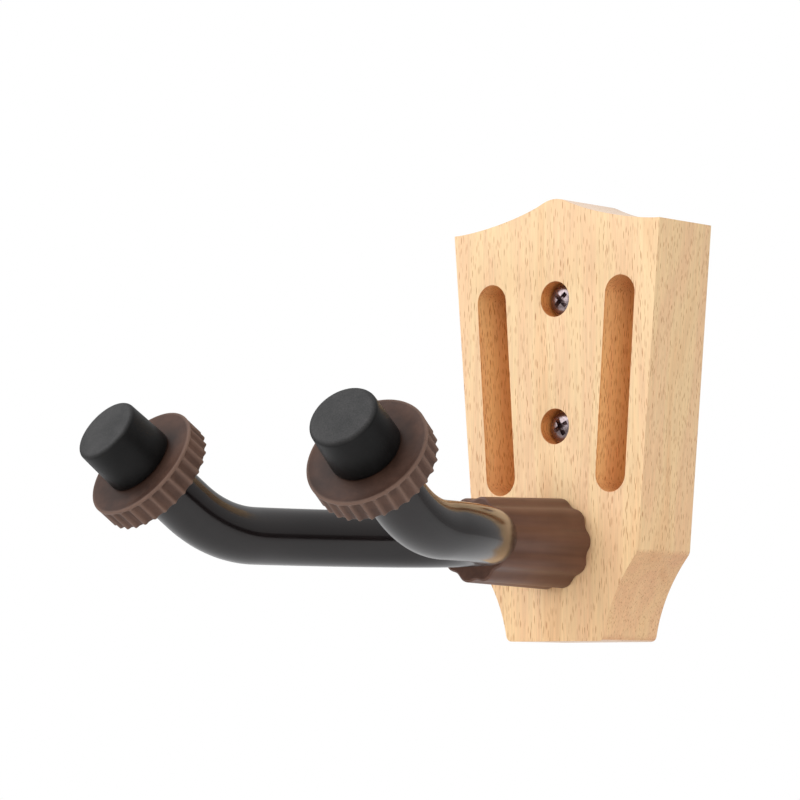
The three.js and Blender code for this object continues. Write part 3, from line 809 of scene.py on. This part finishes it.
FLAT_Y = SEAT_Y + 1.3
SPRING_Y = FLAT_Y + 1.7
NUT_Y = SPRING_Y + 1.45
add_piece(washer("flat_washer_detail", 4.2, 8.0, FLAT_Y, FLAT_Y + 1.6, ZINC, 0.25),
          "yoke", "flat_washer")
spring_profile = fillet([(4.2, SPRING_Y + 0.45, 0.1), (8.0, SPRING_Y, 0.15),
                         (8.0, SPRING_Y + 0.9, 0.15), (4.2, SPRING_Y + 1.35, 0.1)], 3)
add_piece(turned("disc_spring_detail", spring_profile, ZINC, 96, True, None, PIVOT_PLACE),
          "yoke", "disc_spring")


def lock_nut():
    flats, hexagon, collar, bore = 6.5, 6.3, 5.9, 4.2
    corner = flats / math.cos(math.radians(30))
    top = NUT_Y + NUT_HEIGHT
    shoulder = NUT_Y + hexagon

    def shape(radius, y, angle):
        """Cuts the hexagon's flats; the round collar and the bore keep their radius."""
        if radius <= collar + 0.01:
            return radius
        sector = (angle + math.radians(30)) % math.radians(60) - math.radians(30)
        return min(radius, flats / math.cos(sector))

    profile = [
        (bore, NUT_Y + 0.3), (bore + 0.3, NUT_Y),
        (corner - 0.75, NUT_Y), (corner - 0.25, NUT_Y + 0.2), (corner, NUT_Y + 0.55),
        (corner, shoulder - 0.7), (corner - 0.3, shoulder - 0.3), (corner - 0.9, shoulder),
        (collar, shoulder), (collar, top - 0.7), (collar - 0.25, top - 0.25), (collar - 0.7, top),
        (5.2, top), (5.2, top - 1.8), (bore, top - 1.8),
    ]
    return turned("lock_nut_detail", profile, ZINC, 96, True, shape, PIVOT_PLACE, 25)


add_piece(lock_nut(), "yoke", "lock_nut")
NUT_TOP = NUT_Y + NUT_HEIGHT
add_piece(washer("lock_nut_insert_detail", 4.2, 5.1, NUT_TOP - 1.7, NUT_TOP, NYLON, 0.2),
          "yoke", "lock_nut_insert")


def pivot_stud():
    """Plain from the yoke to the plate, then threaded for the nut, with a chamfered end."""
    thread_start, thread_end, thread_step = -22.0, -1.5, 0.12
    root, crest, pitch = 3.42, 3.98, 1.25
    shank, blank, weld_y = 4.0, 3.9, CROWN_Y + 5.4
    profile = [(0.0, weld_y), (shank, weld_y), (shank, -30.0)]
    steps = math.ceil((thread_end - thread_start) / thread_step)
    profile += [(blank, thread_start + thread_step * k) for k in range(steps)]
    profile += [(3.5, -1.2), (3.2, -0.6), (0.0, -0.6)]

    def shape(radius, y, angle):
        if radius != blank:
            return radius
        fade = min(1.0, (y - thread_start) / 1.5)
        return crest * (1 - fade) + thread_radius(root, crest, pitch, y, angle) * fade

    return turned("pivot_stud_detail", profile, ZINC, 64, False, shape, PIVOT_PLACE, 60)


add_piece(pivot_stud(), "yoke", "pivot_stud")

# ---------------------------------------------------------------- collar and yoke


def collar_wave(angle):
    """0 on a lobe and 1 in a flute: broad lobes, narrower flutes."""
    wave = (1 - math.cos(COLLAR_LOBES * (angle - COLLAR_PHASE))) / 2
    return wave ** 1.35


def fluted_collar():
    length = COLLAR_WALL_Y - COLLAR_NOSE_Y
    ease = 0.6
    stations = [0.0, 0.35]
    stations += [ease + (length - 2 * ease) * k / 40 for k in range(41)]
    stations += [length - 0.35, length]
    outer = []
    for s in stations:
        edge = min(s, length - s, ease)
        drop = ease - math.sqrt(ease ** 2 - (ease - edge) ** 2)
        radius = COLLAR_WALL_RADIUS + (COLLAR_NOSE_RADIUS - COLLAR_WALL_RADIUS) * s / length
        outer.append((radius - drop, COLLAR_WALL_Y - s))
    recess_radius, recess_y = 10.3, -27.0  # the slip washer's seat
    profile = outer + [(COLLAR_BORE_RADIUS, COLLAR_NOSE_Y), (COLLAR_BORE_RADIUS, recess_y),
                       (recess_radius, recess_y), (recess_radius, COLLAR_WALL_Y)]

    def shape(radius, y, angle):
        if radius <= recess_radius:
            return radius
        return radius - COLLAR_FLUTE_DEPTH * collar_wave(angle)

    body = turned("fluted_collar_detail", profile, BROWN, COLLAR_LOBES * 20, True, shape, PIVOT_PLACE, 35)
    reach = 34.0
    cut(body, tube("saddle_cutter", -reach, reach, SLEEVE_RADIUS + SADDLE_GAP, 0.0, BROWN, 60, 64, 0.1))
    bevel(body, 0.35, 3, 40)
    finish_mesh(body, BROWN, 30)
    return add_piece(body, "yoke", "fluted_collar")


fluted_collar()

SLEEVE_END = REACH - RING_THICKNESS - 2 * RING_GAP
ROD_END = REACH + 10.0
sleeve = tube("yoke_sleeve_detail", -SLEEVE_END, SLEEVE_END, SLEEVE_RADIUS, SLEEVE_BORE_RADIUS, GLOSS,
              260, 56, 0.7)
add_piece(sleeve, "yoke", "yoke_sleeve")
rod = tube("yoke_rod_detail", -ROD_END, ROD_END, ROD_RADIUS, 0.0, ZINC, 260, 40, 0.6)
add_piece(rod, "yoke", "yoke_rod")

# ---------------------------------------------------------------- arm tips


def tip_place(side):
    centre = arm_point(side * REACH)
    turn = Vector((0, 1, 0)).rotation_difference(tip_axis(side)).to_matrix().to_4x4()
    return Matrix.Translation(centre) @ turn


def grip_ring(side, place):
    """Ribs run from the back edge to a smooth rounded band at the outer face."""
    outer, inner, thick = RING_RADIUS, RING_BORE_RADIUS, RING_THICKNESS
    ribs_y = -RING_BAND - 0.45
    profile = [(inner + 0.4, 0.0), (7.6, 0.0), (outer - 3.4, 0.0)]
    profile += [(outer - 3.0, -0.12), (outer - 1.1, -0.12)]
    for k in range(7):
        turn = math.radians(90 * k / 6)
        profile.append((outer - 0.55 * (1 - math.sin(turn)), -0.02 - 0.5 * (1 - math.cos(turn))))
    profile.append((outer, -RING_BAND + 0.1))
    for k in range(1, 7):
        share = k / 6
        profile.append((outer - 0.05 * share, -RING_BAND + (ribs_y + RING_BAND) * share))
    run = thick - RING_EASE + ribs_y
    for k in range(1, 7):
        profile.append((RING_CREST, ribs_y - run * k / 6))
    for k in range(1, 6):
        turn = math.radians(90 * k / 5)
        radius = RING_CREST - RING_EASE * (1 - math.cos(turn))
        profile.append((radius, -thick + RING_EASE * (1 - math.sin(turn))))
    profile += [(outer - 3.0, -thick), (inner + 0.4, -thick), (inner, -thick + 0.4), (inner, -0.4)]

    def shape(radius, y, angle):
        if radius < outer - 2.5 or y > -RING_BAND:
            return radius
        ridge = (1 + math.cos(RING_RIBS * angle)) / 2
        share = min(1.0, (-RING_BAND - y) / 0.45)
        return radius - RING_RIB_DEPTH * (1 - ridge ** 2.6) * share ** 0.7

    name = "left" if side < 0 else "right"
    ring = turned(f"grip_ring_detail_{name}", profile, RING_BROWN, RING_RIBS * 14, True, shape, place, 40)
    return add_piece(ring, f"ring_{name}", f"grip_ring_{name}")


def end_cap(side, place):
    start = RING_GAP
    base = CAP_BASE_RADIUS
    profile = [
        (0.0, start + 10.5), (5.2, start + 10.5), (5.2, start + 0.9), (7.3, start + 0.9), (7.3, start),
        (base - 0.4, start), (base - 0.12, start + 0.1), (base, start + 0.4),
    ]
    top = CAP_LENGTH
    for k in range(1, 10):
        t = k / 10
        y = start + 0.4 + (top - CAP_RIM - start - 0.4) * t
        profile.append((base + (CAP_END_RADIUS - base) * t, y))
    for k in range(9):
        turn = math.radians(90 * k / 8)
        radius = CAP_END_RADIUS - CAP_RIM * (1 - math.cos(turn))
        profile.append((radius, top - CAP_RIM * (1 - math.sin(turn))))
    profile += [(6.0, top), (4.0, top), (2.0, top), (0.0, top)]
    name = "left" if side < 0 else "right"
    cap = turned(f"end_cap_detail_{name}", profile, RUBBER, 96, False, None, place, 40)
    return add_piece(cap, "yoke", f"end_cap_{name}")


for side in (-1, 1):
    place = tip_place(side)
    name = "left" if side < 0 else "right"
    grip_ring(side, place)
    end_cap(side, place)
    clip = washer(f"retaining_clip_detail_{name}", 5.1, 7.0, RING_GAP, RING_GAP + 0.8, ZINC, 0.12, place)
    add_piece(clip, "yoke", f"retaining_clip_{name}")

# ---------------------------------------------------------------- camera

AZIMUTH, ELEVATION, ROLL = math.radians(39.99), math.radians(-4.444), math.radians(0.204)
LENS, DISTANCE, TARGET = 171.909, 1.17649, Vector((-0.0802242, 0.0, -0.0054597))

forward = Vector((
    -math.sin(AZIMUTH) * math.cos(ELEVATION),
    math.cos(AZIMUTH) * math.cos(ELEVATION),
    -math.sin(ELEVATION),
))
level = forward.cross(Vector((0, 0, 1))).normalized()
upright = level.cross(forward)
right = level * math.cos(ROLL) + upright * math.sin(ROLL)
up = upright * math.cos(ROLL) - level * math.sin(ROLL)
camera_data = bpy.data.cameras.new("camera")
camera_data.sensor_width = 36.0
camera_data.lens = LENS
camera_data.clip_start, camera_data.clip_end = 0.01, 50.0
camera = bpy.data.objects.new("camera", camera_data)
bpy.context.scene.collection.objects.link(camera)
facing = Matrix((right, up, -forward)).transposed().to_4x4()
camera.matrix_world = Matrix.Translation(TARGET - forward * DISTANCE) @ facing
bpy.context.scene.camera = camera

# ---------------------------------------------------------------- stage and light

FLOOR_Z = -0.34


def studio_floor():
    material = Nodes("pale_floor")
    cloud = material.noise(3.0, 3.0, 0.5)
    tones = [(0.3, (0.80, 0.79, 0.785)), (0.7, (0.84, 0.83, 0.825))]
    material.link(material.ramp(cloud, tones), "Base Color")
    material.set(Roughness=0.9)
    disc = [(radius / MM, 0.0) for radius in (0.0, 0.4, 0.8, 1.4, 2.2)]
    verts, faces = turned_mesh(disc, 96, False)
    lying = [(x, z, FLOOR_Z / MM) for x, _, z in verts]
    make_object("studio_floor", lying, faces, material.material)


studio_floor()


def softbox(name, location, target, size, power, colour, reflected):
    data = bpy.data.lights.new(name, "AREA")
    data.shape = "RECTANGLE"
    data.size, data.size_y = size
    data.energy = power
    data.color = colour
    light = bpy.data.objects.new(name, data)
    light.location = location
    light.rotation_mode = "QUATERNION"
    light.rotation_quaternion = (Vector(target) - Vector(location)).to_track_quat("-Z", "Y")
    light.visible_camera = False
    light.visible_glossy = reflected
    bpy.context.scene.collection.objects.link(light)


# name, place and target in metres, size in metres, watts, colour, seen in reflections
SOFTBOXES = (
    ("key", (-0.8, -1.1, 0.85), (0, -0.08, 0), (1.7, 1.7), 18.5, (0.98, 1.0, 1.02), True),
    ("fill", (1.2, -1.05, 0.3), (0, -0.08, 0), (1.2, 1.2), 7.9, (1.0, 0.96, 0.91), False),
    ("overhead", (0.1, 0.35, 1.3), (0, -0.04, 0), (1.6, 1.2), 7, (0.95, 1.0, 1.07), False),
)
for row in SOFTBOXES:
    softbox(*row)


def studio_world():
    """White where the camera sees it, and a grey sky, dim at the horizon, as light."""
    world = bpy.data.worlds.new("studio")
    bpy.context.scene.world = world
    world.use_nodes = True
    tree = world.node_tree
    tree.nodes.clear()
    names = ("OutputWorld", "MixShader", "Background", "Background", "TexCoord", "SeparateXYZ",
             "ValToRGB", "MapRange", "LightPath")
    output, mixer, seen, glow, where, split, sky, lift, path = (
        tree.nodes.new("ShaderNode" + name) for name in names)
    seen.inputs["Color"].default_value = (1, 1, 1, 1)
    lift.inputs["From Min"].default_value = -1.0
    lift.inputs["From Max"].default_value = 1.0
    stops = sky.color_ramp.elements
    stops[0].color = (0.66, 0.62, 0.61, 1)
    stops[1].color = (0.75, 0.75, 0.75, 1)
    stops.new(0.5).color = (0.37, 0.365, 0.365, 1)
    for source, socket in (
        (where.outputs["Generated"], split.inputs[0]),
        (split.outputs["Z"], lift.inputs["Value"]),
        (lift.outputs["Result"], sky.inputs["Fac"]),
        (sky.outputs["Color"], glow.inputs["Color"]),
        (path.outputs["Is Camera Ray"], mixer.inputs[0]),
        (glow.outputs[0], mixer.inputs[1]),
        (seen.outputs[0], mixer.inputs[2]),
        (mixer.outputs[0], output.inputs["Surface"]),
    ):
        tree.links.new(source, socket)


studio_world()

bpy.context.scene.view_settings.view_transform = "Standard"
